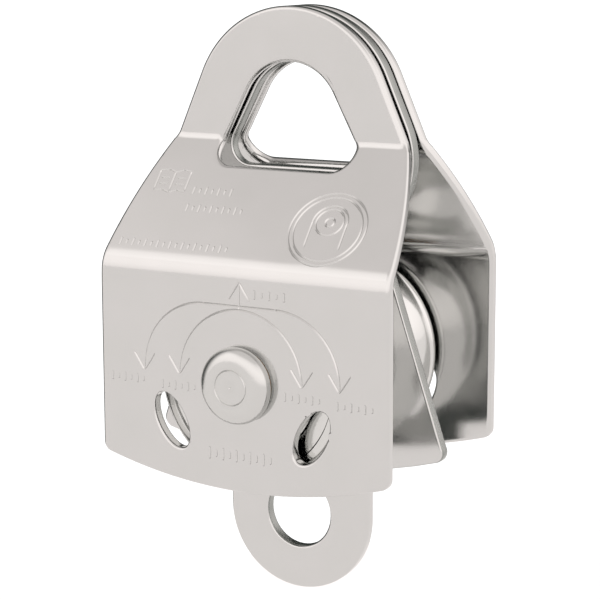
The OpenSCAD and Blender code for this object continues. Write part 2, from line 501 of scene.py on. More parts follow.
# Cold-rolled stainless plate, pressed and tumbled: a pale neutral grey, satin, with cloudy reflections.
PLATE_STAINLESS = SteelFinish(
    "tumbled_stainless_plate", "#CBCBCA", "#C6C7C5", roughness=0.13, roughness_swing=0.03, cloud_mm=9.0,
    grain_mm=0.35, grain_depth_mm=0.0012, wave_mm=16.0, wave_depth_mm=0.10,
)
# The plate's cut edge, only lightly tumbled: duller, with a coarser tooth across it, and a darker grey that
# is partly painted shade, laid on the centre plate's edges where they lie between the cheeks.
CUT_EDGE_AND_PAINTED_SHADE_STAINLESS = SteelFinish(
    "cut_edge_and_painted_shade_stainless", "#A0A3A0", "#868986", roughness=0.27, roughness_swing=0.07, cloud_mm=5.0,
    grain_mm=0.4, grain_depth_mm=0.008, wave_mm=6.0, wave_depth_mm=0.03,
)
# Turned and polished stainless bar: brighter than the plate, with faint rings from the lathe tool.
SHEAVE_STAINLESS = SteelFinish(
    "turned_stainless_sheave", "#D3D4D2", "#CACBC9", roughness=0.13, roughness_swing=0.03, cloud_mm=2.5,
    grain_mm=0.3, grain_depth_mm=0.0015, wave_mm=3.0, wave_depth_mm=0.004, lathe_turned=True,
)
# Riveting and polishing leave the axle's ends a little duller than the sheaves.
AXLE_STAINLESS = SteelFinish(
    "polished_stainless_axle", "#CBCCCA", "#C4C5C3", roughness=0.2, roughness_swing=0.03, cloud_mm=2.0,
    grain_mm=0.3, grain_depth_mm=0.0012, wave_mm=2.5, wave_depth_mm=0.004, lathe_turned=True,
)
# Sintered bearing bronze: brownish gold, close-grained and fairly dull.
BUSH_BRONZE = SteelFinish(
    "sintered_bronze_bush", "#B98F5A", "#9C7443", roughness=0.36, roughness_swing=0.06, cloud_mm=1.6,
    grain_mm=0.3, grain_depth_mm=0.004, wave_mm=3.0, wave_depth_mm=0.003, lathe_turned=True,
)
# Turned steel tube, zinc-plated: cool grey with plain tool rings.
SPACER_STEEL = SteelFinish(
    "turned_spacer_steel", "#C3C6C8", "#B2B5B8", roughness=0.26, roughness_swing=0.05, cloud_mm=2.0,
    grain_mm=0.3, grain_depth_mm=0.003, wave_mm=3.0, wave_depth_mm=0.003, lathe_turned=True,
)
# Phosphated spring steel: nearly black, oily and slightly rough.
SPRING_STEEL = SteelFinish(
    "phosphated_spring_steel", "#4A4B4D", "#37383A", roughness=0.42, roughness_swing=0.06, cloud_mm=1.2,
    grain_mm=0.3, grain_depth_mm=0.005, wave_mm=3.0, wave_depth_mm=0.003,
)
# Through-hardened bearing steel, ground: cool, bright and very even.
BEARING_STEEL = SteelFinish(
    "ground_bearing_steel", "#CFD2D4", "#C2C5C8", roughness=0.14, roughness_swing=0.03, cloud_mm=1.5,
    grain_mm=0.3, grain_depth_mm=0.001, wave_mm=3.0, wave_depth_mm=0.001, lathe_turned=True,
)
# Lapped bearing balls: a mirror, broken only by the thinnest haze.
BALL_STEEL = SteelFinish(
    "lapped_ball_steel", "#D8DADC", "#CFD1D4", roughness=0.06, roughness_swing=0.02, cloud_mm=1.5,
    grain_mm=0.3, grain_depth_mm=0.0003, wave_mm=3.0, wave_depth_mm=0.0,
)
# Pressed cage strip: soft steel with a dull oily skin.
CAGE_STEEL = SteelFinish(
    "pressed_cage_steel", "#A9A79F", "#918F88", roughness=0.33, roughness_swing=0.06, cloud_mm=1.2,
    grain_mm=0.3, grain_depth_mm=0.003, wave_mm=2.0, wave_depth_mm=0.004,
)
# Pressed shield strip: thin bright steel, slightly smoked by its grease.
SHIELD_STEEL = SteelFinish(
    "pressed_shield_steel", "#AEB1B4", "#989B9E", roughness=0.28, roughness_swing=0.05, cloud_mm=1.5,
    grain_mm=0.3, grain_depth_mm=0.002, wave_mm=2.0, wave_depth_mm=0.003, lathe_turned=True,
)


# ---------------------------------------------------------------- engraving


@dataclass
class Graver:
    """Cuts shallow V-shaped marks into one flat face, as a row of cutters that are taken away together.

    Marks are drawn on the face in millimetres, to the right of and above its starting point.
    """

    start: Vector
    right: Vector
    up: Vector
    width: float = 0.55 * MM
    depth: float = 0.24 * MM

    def __post_init__(self) -> None:
        """Works out the way the face looks, and starts with no cutters."""
        self.out = self.right.cross(self.up)
        self.cutters: list[Piece] = []

    def stand(self, cutter: Piece, spot: Point, heading: float, size: Vector) -> None:
        """Stands a cutter on the face.

        Args:
            cutter: drawn lying on the XY plane, about its origin.
            spot: where its origin goes, in millimetres.
            heading: the way its X axis points on the face, in degrees.
            size: its scale along its own axes.
        """
        turn = math.radians(heading)
        along = self.right * math.cos(turn) + self.up * math.sin(turn)
        axes = Matrix((along, self.out.cross(along), self.out)).transposed().to_4x4()
        place = self.start + (self.right * spot[0] + self.up * spot[1]) * MM
        cutter.matrix_world = Matrix.Translation(place) @ axes @ Matrix.Diagonal((*size, 1))
        self.cutters.append(cutter)

    def section(self, place: Vector) -> Piece:
        """Adds the graver's diamond point, standing across the X axis.

        Args:
            place: its middle.

        Returns:
            The diamond, as wide and deep as the marks.
        """
        deselect_all()
        bpy.ops.mesh.primitive_circle_add(
            vertices=4, radius=1, fill_type="NGON", location=place, rotation=(0, math.pi / 2, 0)
        )
        return settle(new_piece("graver"))

    def stroke(self, from_: Point, to: Point) -> None:
        """Cuts a straight mark that runs out to a point at both ends.

        Args:
            from_: its first end, in millimetres.
            to: its other end.
        """
        taper = 0.07
        if "graver_stroke" not in bpy.data.meshes:
            master = self.section(Vector((taper, 0, 0)))
            master.data.name = "graver_stroke"
            with editing(master, "FACE"):
                bpy.ops.mesh.select_all(action="SELECT")
                bpy.ops.mesh.extrude_region_move(TRANSFORM_OT_translate={"value": (1 - 2 * taper, 0, 0)})
                bpy.ops.mesh.extrude_region_move(TRANSFORM_OT_translate={"value": (taper, 0, 0)})
                bpy.ops.mesh.merge(type="CENTER")
            mesh = master.data
            with editing(master, "VERT"):
                skin = bmesh.from_edit_mesh(mesh)
                for point in skin.verts:
                    point.select_set(point.co.x < 1.5 * taper)
                skin.select_flush_mode()
                bmesh.update_edit_mesh(mesh)
                bpy.ops.mesh.extrude_region_move(TRANSFORM_OT_translate={"value": (-taper, 0, 0)})
                bpy.ops.mesh.merge(type="CENTER")
                bpy.ops.mesh.select_all(action="SELECT")
                bpy.ops.mesh.normals_make_consistent(inside=False)
            mesh.use_fake_user = True
            bpy.data.objects.remove(master)
        cutter = bpy.data.objects.new("graver", bpy.data.meshes["graver_stroke"].copy())
        bpy.context.collection.objects.link(cutter)
        across, rise = to[0] - from_[0], to[1] - from_[1]
        size = Vector((math.hypot(across, rise) * MM, self.width / 2, self.depth))
        self.stand(cutter, from_, math.degrees(math.atan2(rise, across)), size)

    def sweep(self, centre: Point, radius: float, start: float, end: float) -> None:
        """Cuts a round mark, or a part of one.

        Args:
            centre: its centre, in millimetres.
            radius: its radius, in millimetres.
            start: where it starts, in degrees from the right.
            end: where it ends, further anticlockwise.
        """
        turn = end - start
        ends = "NOTHING" if turn == 360 else "NGON"
        deselect_all()
        bpy.ops.mesh.primitive_circle_add(
            vertices=4, radius=1, fill_type=ends, location=(radius, 0, 0), rotation=(math.pi / 2, 0, 0)
        )
        cutter = new_piece("graver")
        cutter.scale = (self.width / 2 / MM, self.depth / MM, 1)
        settle(cutter)
        with editing(cutter):
            bpy.ops.mesh.select_all(action="SELECT")
            bpy.ops.mesh.spin(
                steps=max(2, round(turn / 4)), angle=-math.radians(turn), center=(0, 0, 0), axis=(0, 0, 1)
            )
            bpy.ops.mesh.select_all(action="SELECT")
            bpy.ops.mesh.remove_doubles(threshold=1e-4)
            bpy.ops.mesh.normals_make_consistent(inside=False)
        self.stand(cutter, centre, start, Vector((MM, MM, MM)))

    def arrow_head(self, tip: Point, heading: float) -> None:
        """Cuts the two barbs of an arrow.

        Args:
            tip: the arrow's point, in millimetres.
            heading: the way it points, in degrees.
        """
        for lean in (-1, 1):
            back = math.radians(heading + 180 + lean * 34)
            self.stroke((tip[0] + 5 * math.cos(back), tip[1] + 5 * math.sin(back)), tip)

    def tick_row(self, left: float, right: float, middle: float, height: float) -> None:
        """Cuts a plain row of graduation ticks.

        Args:
            left: where the row starts, in millimetres.
            right: where it ends.
            middle: its height on the face.
            height: the length of its longer ticks.
        """
        count = round((right - left) / 1.7)
        for i in range(count + 1):
            across = left + (right - left) * i / count
            half = height * (0.5 if i % 2 == 0 else 0.28)
            self.stroke((across, middle - half), (across, middle + half))

    def span(self, cutter: Piece) -> tuple[Vector, Vector]:
        """The lowest and highest corners of a cutter where it stands."""
        corners = [cutter.matrix_world @ Vector(corner) for corner in cutter.bound_box]
        return Vector(map(min, *corners)), Vector(map(max, *corners))

    def passes(self) -> list[list[Piece]]:
        """Sorts the cutters into passes, so that no two in a pass overlap.

        Returns:
            The cutters of each pass.
        """
        sorted_out: list[list[tuple[Piece, Vector, Vector]]] = []
        for cutter in self.cutters:
            low, high = self.span(cutter)
            for taken in sorted_out:
                meets = any(
                    all(low[i] < top[i] and bottom[i] < high[i] for i in range(3)) for _, bottom, top in taken
                )
                if not meets:
                    taken.append((cutter, low, high))
                    break
            else:
                sorted_out.append([(cutter, low, high)])
        return [[cutter for cutter, _, _ in taken] for taken in sorted_out]

    def cut(self, piece: Piece) -> None:
        """Takes all the cutters away from a piece, pass by pass.

        Args:
            piece: the closed piece that is engraved.
        """
        for cutters in self.passes():
            tool = cutters[0]
            pick(tool)
            for cutter in cutters:
                cutter.select_set(True)
            bpy.ops.object.join()
            settle(tool)
            with editing(tool):
                bpy.ops.mesh.select_all(action="SELECT")
                bpy.ops.mesh.normals_make_consistent(inside=False)
            apply_modifier(piece, "BOOLEAN", object=tool, operation="DIFFERENCE", solver="MANIFOLD")
            bpy.data.objects.remove(tool)


# ---------------------------------------------------------------- the block


@dataclass
class CentrePlate:
    """The flat plate that carries the axle, with the anchor eye above and the becket below."""

    edge_round: float = 0.7 * MM
    bore_reach: float = 7.0 * MM
    bore_round: float = 0.25 * MM
    edge_facing: float = 0.75
    tab_top: float = 24.5 * MM
    becket_drop: float = 36.5 * MM
    becket_reach: float = 11.0 * MM

    def on_tab(self, place: Vector) -> bool:
        """Whether a place lies on the becket tab's outer edge, which sits outside the cheeks and so stays as
        bright as the faces, free of the edges' painted shade.
        """
        drop = AXLE_Z - place.z
        return drop > self.tab_top and math.hypot(place.x, drop - self.becket_drop) > self.becket_reach

    def build(self) -> Piece:
        """Makes the plate with its edges rounded by the tumbler, and duller than its faces, in a darker grey
        that is partly painted shade.

        Returns:
            The finished plate.
        """
        plate = from_cad("centre_plate", "centre_sheet")
        round_edges(
            plate, lambda edge: is_sharp(edge) and near_axle(edge, self.bore_reach), self.bore_round, 2
        )
        round_edges(plate, is_sharp, self.edge_round, 4)
        lead_with_flats(plate)
        even_normals(plate)
        PLATE_STAINLESS.dress(plate)
        plate.data.materials.append(CUT_EDGE_AND_PAINTED_SHADE_STAINLESS.material())
        # Edges between the cheeks get the darker cut-edge grey, partly painted shade; the becket tab's outer
        # edge keeps the bright plate finish.
        for face in plate.data.polygons:
            face.material_index = int(abs(face.normal.y) < self.edge_facing and not self.on_tab(face.center))
        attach(plate, "frame")
        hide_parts("centre_plate")
        return plate


def near_axle(edge: bmesh.types.BMEdge, reach: float) -> bool:
    """Whether an edge lies wholly within a distance of the axle."""
    return all(math.hypot(end.co.x, end.co.z - AXLE_Z) < reach for end in edge.verts)


@dataclass
class CheekSheet:
    """The section of a cheek seen from its edge: upright, slope and eye, joined by two bends.

    A place in the sheet is given as on the flat blank, by how far along it is from the axle's level and
    how far off its middle, outward.
    """

    thickness: float = 3.0 * MM
    shoulder_radius: float = 8.0 * MM
    neck_radius: float = 2.5 * MM
    bend_start: float = 23.4 * MM
    bend_angle: float = 40.0

    def __post_init__(self) -> None:
        """Works out where each bend starts and ends along the blank."""
        eye_in, out = Side.FRONT.span("cheek_plate")
        self.half = self.thickness / 2
        self.lean = math.radians(self.bend_angle)
        both = self.shoulder_radius + self.neck_radius
        eye_out = eye_in + self.thickness
        slope = (out - eye_out - both * (1 - math.cos(self.lean))) / math.sin(self.lean)
        self.upright = out - self.half
        self.eye = eye_in + self.half
        self.shoulder_mid = self.shoulder_radius - self.half
        self.neck_mid = self.neck_radius + self.half
        self.shoulder = (out - self.shoulder_radius, self.bend_start)
        neck_height = self.bend_start + both * math.sin(self.lean) + slope * math.cos(self.lean)
        self.neck = (eye_out + self.neck_radius, neck_height)
        self.slope_start = self.bend_start + self.shoulder_mid * self.lean
        self.slope_end = self.slope_start + slope
        self.eye_start = self.slope_end + self.neck_mid * self.lean

    def bent(self, along: float, off: float) -> Point:
        """Where a place in the blank comes to when the sheet is bent.

        Args:
            along: how far along the blank it is.
            off: how far off the sheet's middle it is, outward.

        Returns:
            Its distance from the block's middle plane, and its height above the axle.
        """
        cos, sin = math.cos(self.lean), math.sin(self.lean)
        if along <= self.bend_start:
            return self.upright + off, along
        if along <= self.slope_start:
            turn = (along - self.bend_start) / self.shoulder_mid
            reach = self.shoulder_mid + off
            return self.shoulder[0] + reach * math.cos(turn), self.shoulder[1] + reach * math.sin(turn)
        if along <= self.slope_end:
            reach, rise = self.shoulder_mid + off, along - self.slope_start
            return self.shoulder[0] + reach * cos - rise * sin, self.shoulder[1] + reach * sin + rise * cos
        if along <= self.eye_start:
            turn = self.lean - (along - self.slope_end) / self.neck_mid
            reach = self.neck_mid - off
            return self.neck[0] - reach * math.cos(turn), self.neck[1] - reach * math.sin(turn)
        return self.eye + off, self.neck[1] + along - self.eye_start

    def flat(self, height: float) -> float:
        """How far along the blank the middle of the sheet reaches a height, found by halving.

        Args:
            height: the height to reach.

        Returns:
            The distance along the blank.
        """
        low, high = -2 * self.eye_start, 2 * self.eye_start
        for _ in range(40):
            middle = (low + high) / 2
            if self.bent(middle, 0)[1] < height:
                low = middle
            else:
                high = middle
        return (low + high) / 2

    def fold_lines(self, steps: int) -> list[float]:
        """The lines across the blank that a bend needs.

        Args:
            steps: how many flats each bend has.

        Returns:
            How far along the blank each line is.
        """
        lines = []
        for start, end in ((self.bend_start, self.slope_start), (self.slope_end, self.eye_start)):
            lines += [start + (end - start) * i / steps for i in range(steps + 1)]
        return lines


@dataclass
class Cheeks:
    """The two bent plates that swing on the axle, engraved alike and turned back to back.

    The front one is cut out flat, drilled, rounded and engraved, and then bent.
    """

    sheet: CheekSheet
    crown_height: float = 58.0 * MM
    crown_radius: float = 25.5 * MM
    eye_angle: float = 24.0
    shoulder_radius: float = 76.0 * MM
    foot_drop: float = 25.2 * MM
    foot_rise: float = 5.7 * MM
    foot_corner: float = 2.5 * MM
    hole_crown: float = 12.8 * MM
    hole_base: float = 46.4 * MM
    hole_half_width: float = 17.6 * MM
    hole_corner: float = 4.5 * MM
    bore: float = 8.05 * MM
    window_across: float = 18.3 * MM
    window_drop: float = 10.3 * MM
    window_width: float = 7.4 * MM
    window_length: float = 13.8 * MM
    window_lean: float = 29.0
    window_round: float = 0.65 * MM
    edge_round: float = 0.9 * MM
    eye_round: float = 1.35 * MM
    bore_round: float = 0.3 * MM
    fold_steps: int = 12
    sliver: float = 0.001 * MM
    field: float = 4.0 * MM
    field_start: float = 0.53

    def mirrored(self, right: Sequence[Point]) -> list[Point]:
        """Closes an outline whose right-hand side runs down through the given points."""
        return [*right, *((-across, height) for across, height in reversed(right) if across > MERGE_GAP)]

    def outline(self) -> list[Point]:
        """The cheek's outline as seen from the front.

        Returns:
            Points of (distance to the right, height above the axle), clockwise.
        """
        half = Side.FRONT.radius("cheek_plate")
        lean = math.radians(self.eye_angle)
        side = self.crown_height * math.sin(lean) + self.crown_radius
        beside = half - self.shoulder_radius
        shoulder = (beside, (side - self.shoulder_radius - beside * math.cos(lean)) / math.sin(lean))
        foot = (half ** 2 + self.foot_rise ** 2) / (2 * self.foot_rise)
        centre = foot - self.foot_drop
        corner_x = half - self.foot_corner
        corner_z = centre - math.sqrt((foot - self.foot_corner) ** 2 - corner_x ** 2)
        turn = math.degrees(math.atan2(corner_z - centre, corner_x))
        return self.mirrored([
            *arc((0, self.crown_height), self.crown_radius, 90, self.eye_angle, 36),
            *arc(shoulder, self.shoulder_radius, self.eye_angle, 0, 16),
            *arc((corner_x, corner_z), self.foot_corner, 0, turn, 8),
            *arc((0, centre), foot, turn, -90, 16)[1:],
        ])

    def eye_outline(self) -> list[Point]:
        """The outline of the eye's hole as seen from the front, clockwise."""
        corner = (self.hole_half_width - self.hole_corner, self.hole_base + self.hole_corner)
        across, drop = corner[0], corner[1] - self.crown_height
        reach = math.hypot(across, drop)
        turned = math.acos((self.hole_crown - self.hole_corner) / reach)
        lean = math.degrees(math.atan2(drop, across) + turned)
        upper = arc((0, self.crown_height), self.hole_crown, 90, lean, 24)
        lower = arc(corner, self.hole_corner, lean, -90, 18)
        side = [(upper[-1][0] + (lower[0][0] - upper[-1][0]) * i / 6,
                 upper[-1][1] + (lower[0][1] - upper[-1][1]) * i / 6) for i in range(1, 6)]
        return self.mirrored([*upper, *side, *lower])

    def window_outline(self, side: int) -> list[Point]:
        """The outline of one oval window, whose top leans outward.

        Args:
            side: 1 for the right-hand window and -1 for the left-hand one.

        Returns:
            Points of (distance to the right, height above the axle).
        """
        lean = math.radians(self.window_lean)
        oval = [(x * self.window_width, z * self.window_length) for x, z in arc((0, 0), 0.5, 360, 6, 59)]
        return [(side * (self.window_across + x * math.cos(lean) + z * math.sin(lean)),
                 -self.window_drop + z * math.cos(lean) - x * math.sin(lean)) for x, z in oval]

    def blank(self, name: str, outline: Sequence[Point], reach: float) -> Piece:
        """Cuts a flat blank, standing upright in the block's middle plane about the axle's line.

        Args:
            name: the piece's name.
            outline: its outline when bent, as seen from the front.
            reach: half its thickness.

        Returns:
            The blank.
        """
        places = [Vector((across, -reach, self.sheet.flat(height))) for across, height in outline]
        deselect_all()
        bpy.ops.mesh.primitive_plane_add(size=MM, location=places[0])
        piece = settle(new_piece(name))
        with editing(piece):
            bpy.ops.mesh.select_all(action="SELECT")
            bpy.ops.mesh.merge(type="CENTER")
            for here, there in zip(places, [*places[1:], places[0]]):
                bpy.ops.mesh.extrude_region_move(TRANSFORM_OT_translate={"value": there - here})
            bpy.ops.mesh.select_all(action="SELECT")
            bpy.ops.mesh.remove_doubles(threshold=MERGE_GAP)
            bpy.ops.mesh.edge_face_add()
            bpy.ops.mesh.extrude_region_move(TRANSFORM_OT_translate={"value": (0, 2 * reach, 0)})
            bpy.ops.mesh.select_all(action="SELECT")
            bpy.ops.mesh.normals_make_consistent(inside=False)
        return piece

    def cut_out(self) -> Piece:
        """Cuts out the flat cheek with its holes, and rounds every edge.

        Returns:
            The flat cheek.
        """
        cheek = self.blank("front_cheek_sheet", self.outline(), self.sheet.half)
        holes = (
            (self.eye_outline(), self.eye_round, 6),
            (arc((0, 0), self.bore, 360, 5, 71), self.bore_round, 2),
            (self.window_outline(-1), self.window_round, 5),
            (self.window_outline(1), self.window_round, 5),
        )
        for outline, _, _ in holes:
            punch = self.blank("punch", outline, 2 * self.sheet.half)
            apply_modifier(cheek, "BOOLEAN", object=punch, operation="DIFFERENCE", solver="MANIFOLD")
            bpy.data.objects.remove(punch)
        with editing(cheek):
            bpy.ops.mesh.select_all(action="SELECT")
            bpy.ops.mesh.dissolve_limited(angle_limit=math.radians(0.5))
        for outline, radius, steps in ((self.outline(), self.edge_round, 5), *holes):
            round_edges(cheek, self.rim_of(outline), radius, steps)
        return cheek

    def rim_of(self, outline: Sequence[Point]) -> Callable[[bmesh.types.BMEdge], bool]:
        """Finds the edges of the flat blank that lie along an outline.

        Args:
            outline: the outline when bent, as seen from the front.

        Returns:
            A test of an edge.
        """
        corners = {(round(across / MERGE_GAP), round(self.sheet.flat(height) / MERGE_GAP))
                   for across, height in outline}
        near = {(x + i, z + j) for x, z in corners for i in (-1, 0, 1) for j in (-1, 0, 1)}

        def on_rim(edge: bmesh.types.BMEdge) -> bool:
            """Whether both ends lie on the outline, in the same face of the sheet."""
            first, last = (end.co for end in edge.verts)
            return abs(first.y - last.y) < MERGE_GAP and all(
                (round(end.x / MERGE_GAP), round(end.z / MERGE_GAP)) in near for end in (first, last)
            ) and any(abs(face.normal.y) < 0.5 for face in edge.link_faces)

        return on_rim

    def engrave_loads(self, graver: Graver) -> None:
        """Cuts the diagram of the ropes' pull round the axle: an upward arrow and four downward ones.

        Args:
            graver: the tool that cuts.
        """
        graver.stroke((0, 17.0), (0, 23.3))
        graver.arrow_head((0, 23.3), 90)
        graver.stroke((-10.2, 17.8), (10.2, 17.8))
        graver.sweep((-9.5, 1.8), 16.0, 90, 184)
        graver.sweep((9.5, 1.8), 16.0, -4, 90)
        graver.sweep((0, 1.0), 16.0, 0, 180)
        for across in (-25.5, -16.0, 16.0, 25.5):
            graver.arrow_head((across, 0.8), -90)
        graver.tick_row(4.0, 11.6, 20.8, 2.2)
        for left, middle in ((-34.4, -1.4), (-20.6, -2.0), (11.8, -1.6), (25.0, -2.2)):
            graver.tick_row(left, left + 8.6, middle, 2.2)
        graver.tick_row(-8.0, 8.0, -16.7, 3.0)

    def engrave_slope(self, graver: Graver) -> None:
        """Cuts an open book, rows of ticks, and a round badge with a plain sheave in it.

        Args:
            graver: the tool that cuts.
        """
        base = (self.sheet.slope_start - self.sheet.shoulder_radius * math.tan(self.sheet.lean / 2)) / MM
        book, spine_top, spine_foot = -26.2, base + 24.2, base + 18.6
        for side in (-1, 1):
            outline = [(book, spine_foot), (book + side * 2.0, spine_foot + 0.7),
                       (book + side * 4.2, spine_foot + 0.4), (book + side * 4.2, spine_top + 0.4),
                       (book + side * 2.0, spine_top + 0.7), (book, spine_top)]
            for here, there in zip(outline, outline[1:]):
                graver.stroke(here, there)
            for height in (spine_foot + 2.3, spine_foot + 4.0):
                graver.stroke((book + side * 1.0, height), (book + side * 3.4, height))
        graver.stroke((book, spine_top), (book, spine_foot))
        graver.tick_row(-19.5, -9.5, base + 19.6, 2.3)
        graver.tick_row(-19.5, -5.0, base + 14.8, 2.3)
        graver.tick_row(-33.5, -5.0, base + 4.6, 2.3)
        middle, height = 18.3, base + 12.0
        graver.sweep((middle, height), 9.4, 0, 360)
        graver.sweep((middle, height), 8.3, 0, 360)
        for radius in (1.1, 3.4):
            graver.sweep((middle, height + 1.8), radius, 0, 360)
        for side in (-1, 1):
            graver.stroke((middle + side * 4.3, height + 2.0), (middle + side * 4.3, height - 5.4))
        graver.sweep((middle, height + 1.8), 4.3, 0, 180)

    def quarter(self, cheek: Piece) -> None:
        """Clears away the engraving's slivers, and divides the flat cheek into small fields.

        Args:
            cheek: the engraved cheek.
        """
        low, high = Vector(cheek.bound_box[0]), Vector(cheek.bound_box[6])
        with editing(cheek):
            bpy.ops.mesh.select_all(action="SELECT")
            bpy.ops.mesh.dissolve_degenerate(threshold=self.sliver)
            for way in (Vector((1, 0, 0)), Vector((0, 0, 1))):
                first, last = low.dot(way), high.dot(way)
                for i in range(int((last - first) / self.field)):
                    place = way * (first + (i + self.field_start) * self.field)
                    bpy.ops.mesh.select_all(action="SELECT")
                    bpy.ops.mesh.bisect(plane_co=place, plane_no=way)

    def bend(self, cheek: Piece) -> None:
        """Scores the flat cheek across its bends, and bends it into place in front of the block."""
        with editing(cheek):
            for line in self.sheet.fold_lines(self.fold_steps):
                bpy.ops.mesh.select_all(action="SELECT")
                bpy.ops.mesh.bisect(plane_co=(0, 0, line), plane_no=(0, 0, 1))
            skin = bmesh.from_edit_mesh(cheek.data)
            for point in skin.verts:
                distance, height = self.sheet.bent(point.co.z, -point.co.y)
                point.co = (point.co.x, -distance, AXLE_Z + height)
            bmesh.update_edit_mesh(cheek.data)
            bpy.ops.mesh.select_all(action="SELECT")
            bpy.ops.mesh.normals_make_consistent(inside=False)

    def build(self) -> list[Piece]:
        """Makes the front cheek, and turns a copy of it for the rear.

        Returns:
            Both cheeks, dressed.
        """
        front = self.cut_out()
        graver = Graver(Vector((0, -self.sheet.half, 0)), Vector((1, 0, 0)), Vector((0, 0, 1)))
        self.engrave_loads(graver)
        self.engrave_slope(graver)
        graver.cut(front)
        self.quarter(front)
        lead_with_flats(front)
        self.bend(front)
        even_normals(front)
        PLATE_STAINLESS.dress(front)
        rear = twin(front, "rear_cheek_sheet")
        for side, cheek in ((Side.FRONT, front), (Side.REAR, rear)):
            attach(cheek, side.named("cheek"))
            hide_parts(side.named("cheek_plate"))
        return [front, rear]


@dataclass
class Sheaves:
    """The two grooved wheels, each turned from one bar with a seat for its bearing."""

    groove_width: float = 17.0 * MM
    groove_depth: float = 6.5 * MM
    shoulder_bore: float = 12.6 * MM
    bearing_radius: float = 14.0 * MM
    corner: float = 0.35 * MM
    recess_inner: float = 16.6 * MM
    recess_outer: float = 21.4 * MM
    recess_depth: float = 0.4 * MM
    turn_steps: int = 144

    def profile(self) -> list[Point]:
        """The wheel's section, from the shoulder's bore out along the inner face and round.

        Returns:
            Points of (radius, distance from the middle plane).
        """
        inner, outer = Side.FRONT.span("sheave")
        radius = Side.FRONT.radius("sheave")
        middle, half = (inner + outer) / 2, (outer - inner) / 2
        seat = Side.FRONT.span("bearing_outer_ring")[0]
        ring_in, ring_out = Side.FRONT.span("retaining_ring")
        ring_radius = Side.FRONT.radius("retaining_ring")
        groove = ((self.groove_width / 2) ** 2 + self.groove_depth ** 2) / (2 * self.groove_depth)
        groove_centre = radius - self.groove_depth + groove
        over = groove_centre - radius
        reach = groove + half - over
        rim = reach - math.sqrt(reach ** 2 - (over ** 2 + half ** 2 - groove ** 2))
        lean = math.degrees(math.atan2(half - rim, over + rim))
        face_in = self.face(inner, 1)
        face_out = reversed(self.face(outer, -1))
        return [
            (self.shoulder_bore, inner + self.corner), (self.shoulder_bore + self.corner, inner), *face_in,
            *arc((radius - rim, inner + rim), rim, -90, lean, 14),
            *arc((groove_centre, middle), groove, 180 + lean, 180 - lean, 40)[1:-1],
            *arc((radius - rim, outer - rim), rim, -lean, 90, 14), *face_out,
            (self.bearing_radius + self.corner, outer), (self.bearing_radius, outer - self.corner),
            (self.bearing_radius, ring_out), (ring_radius, ring_out), (ring_radius, ring_in),
            (self.bearing_radius, ring_in), (self.bearing_radius, seat), (self.shoulder_bore, seat),
        ]

    def face(self, at: float, way: int) -> list[Point]:
        """The shallow recess in a side face, from its inner edge outward."""
        floor = at + way * self.recess_depth
        return [(self.recess_inner, at), (self.recess_inner + self.corner, floor),
                (self.recess_outer - self.corner, floor), (self.recess_outer, at)]

    def build(self) -> list[Piece]:
        """Turns the front sheave, and copies it for the rear.

        Returns:
            Both sheaves, dressed.
        """
        front = shade(turned("front_wheel", self.profile(), self.turn_steps), 30)
        SHEAVE_STAINLESS.dress(front)
        rear = twin(front, "rear_wheel")
        for side, wheel in ((Side.FRONT, front), (Side.REAR, rear)):
            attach(wheel, side.named("sheave_set"))
            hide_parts(side.named("sheave"))
        return [front, rear]


@dataclass
class Axle:
    """The riveted axle: a pin with shouldered ends, and a domed head pressed on each."""

    tip_radius: float = 4.0 * MM
    seam: float = 0.18 * MM
    mark_depth: float = 0.3 * MM
    dome_reach: float = 3.3 * MM
    dome_drop: float = 2.5 * MM
    base_corner: float = 1.3 * MM
    turn_steps: int = 96

    def pin_end(self, way: int) -> list[Point]:
        """Half of the pin's section, from the punch mark in its end back to its shoulder.

        Args:
            way: 1 for the front end and -1 for the rear one.

        Returns:
            Points of (radius, distance from the middle plane).
        """
        base, end = Side.FRONT.span("axle_head")
        points = [(0.0, end - self.mark_depth), (self.mark_depth, end), (self.tip_radius - self.seam, end),
                  (self.tip_radius, end - self.seam), (self.tip_radius, base), (self.pin_radius(), base)]
        return [(radius, way * distance) for radius, distance in points]

    def pin_radius(self) -> float:
        """Radius of the pin between its shoulders."""
        low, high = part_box("axle_pin")
        return (high.x - low.x) / 2

    def head_profile(self) -> list[Point]:
        """The section of a head, from the seam round its bore to its rounded edge and flat base."""
        base, end = Side.FRONT.span("axle_head")
        radius = Side.FRONT.radius("axle_head")
        dome = [(radius - self.dome_reach * (1 - across), end - self.dome_drop * (1 - rise))
                for across, rise in arc((0, 0), 1, 90, 0, 16)]
        tuck = arc((radius - self.base_corner, base + self.base_corner), self.base_corner, 0, -90, 8)
        return [
            (self.tip_radius, base), (self.tip_radius, end - self.seam), (self.tip_radius + self.seam, end),
            *dome, *tuck,
        ]

    def build(self) -> list[Piece]:
        """Turns the pin and its heads.

        Returns:
            The pin and both heads, dressed.
        """
        section = self.pin_end(1) + self.pin_end(-1)[::-1]
        pin = shade(turned("axle", section, self.turn_steps), 30)
        front = shade(turned("front_rivet_head", self.head_profile(), self.turn_steps), 30)
        AXLE_STAINLESS.dress(pin, front)
        rear = twin(front, "rear_rivet_head")
        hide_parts("axle_pin")
        for side, head in ((Side.FRONT, front), (Side.REAR, rear)):
            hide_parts(side.named("axle_head"))
        for piece in (pin, front, rear):
            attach(piece, "frame")
        return [pin, front, rear]


